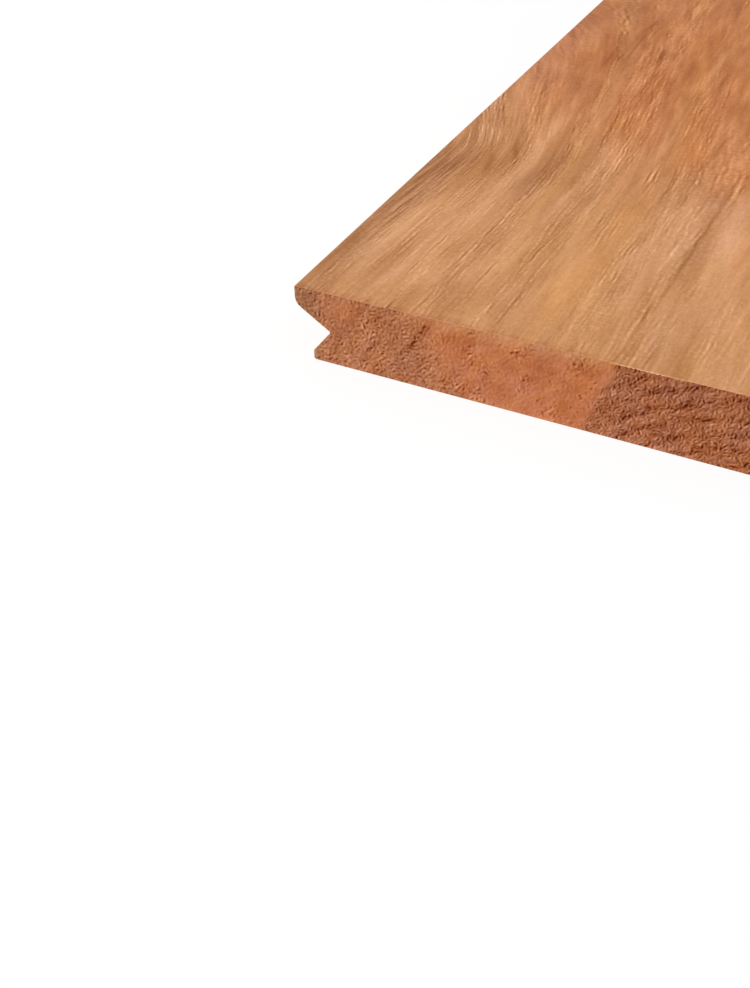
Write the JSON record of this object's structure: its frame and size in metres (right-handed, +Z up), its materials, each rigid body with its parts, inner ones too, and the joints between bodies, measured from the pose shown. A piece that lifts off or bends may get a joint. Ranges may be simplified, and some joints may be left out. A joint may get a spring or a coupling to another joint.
{
  "type": "decking board",
  "caption": "Solid hardwood decking board with a flat planed face and a V groove milled along each long edge for hidden clips.",
  "frame": {"origin": "middle of the underside, which rests on the joists", "axes": "+Z up through the thickness to the walking face, +Y along the length, +X across the width; the sawn end in the picture faces -Y and its groove is at -X"},
  "size_m": [0.145, 1.85, 0.021],
  "materials": {
    "oiled_hardwood": "planed hardwood with a thin coat of oil, satin, with open pores in the sawn ends"
  },
  "bodies": {
    "root": {"decking_board": "oiled_hardwood"}
  },
  "joints": []
}
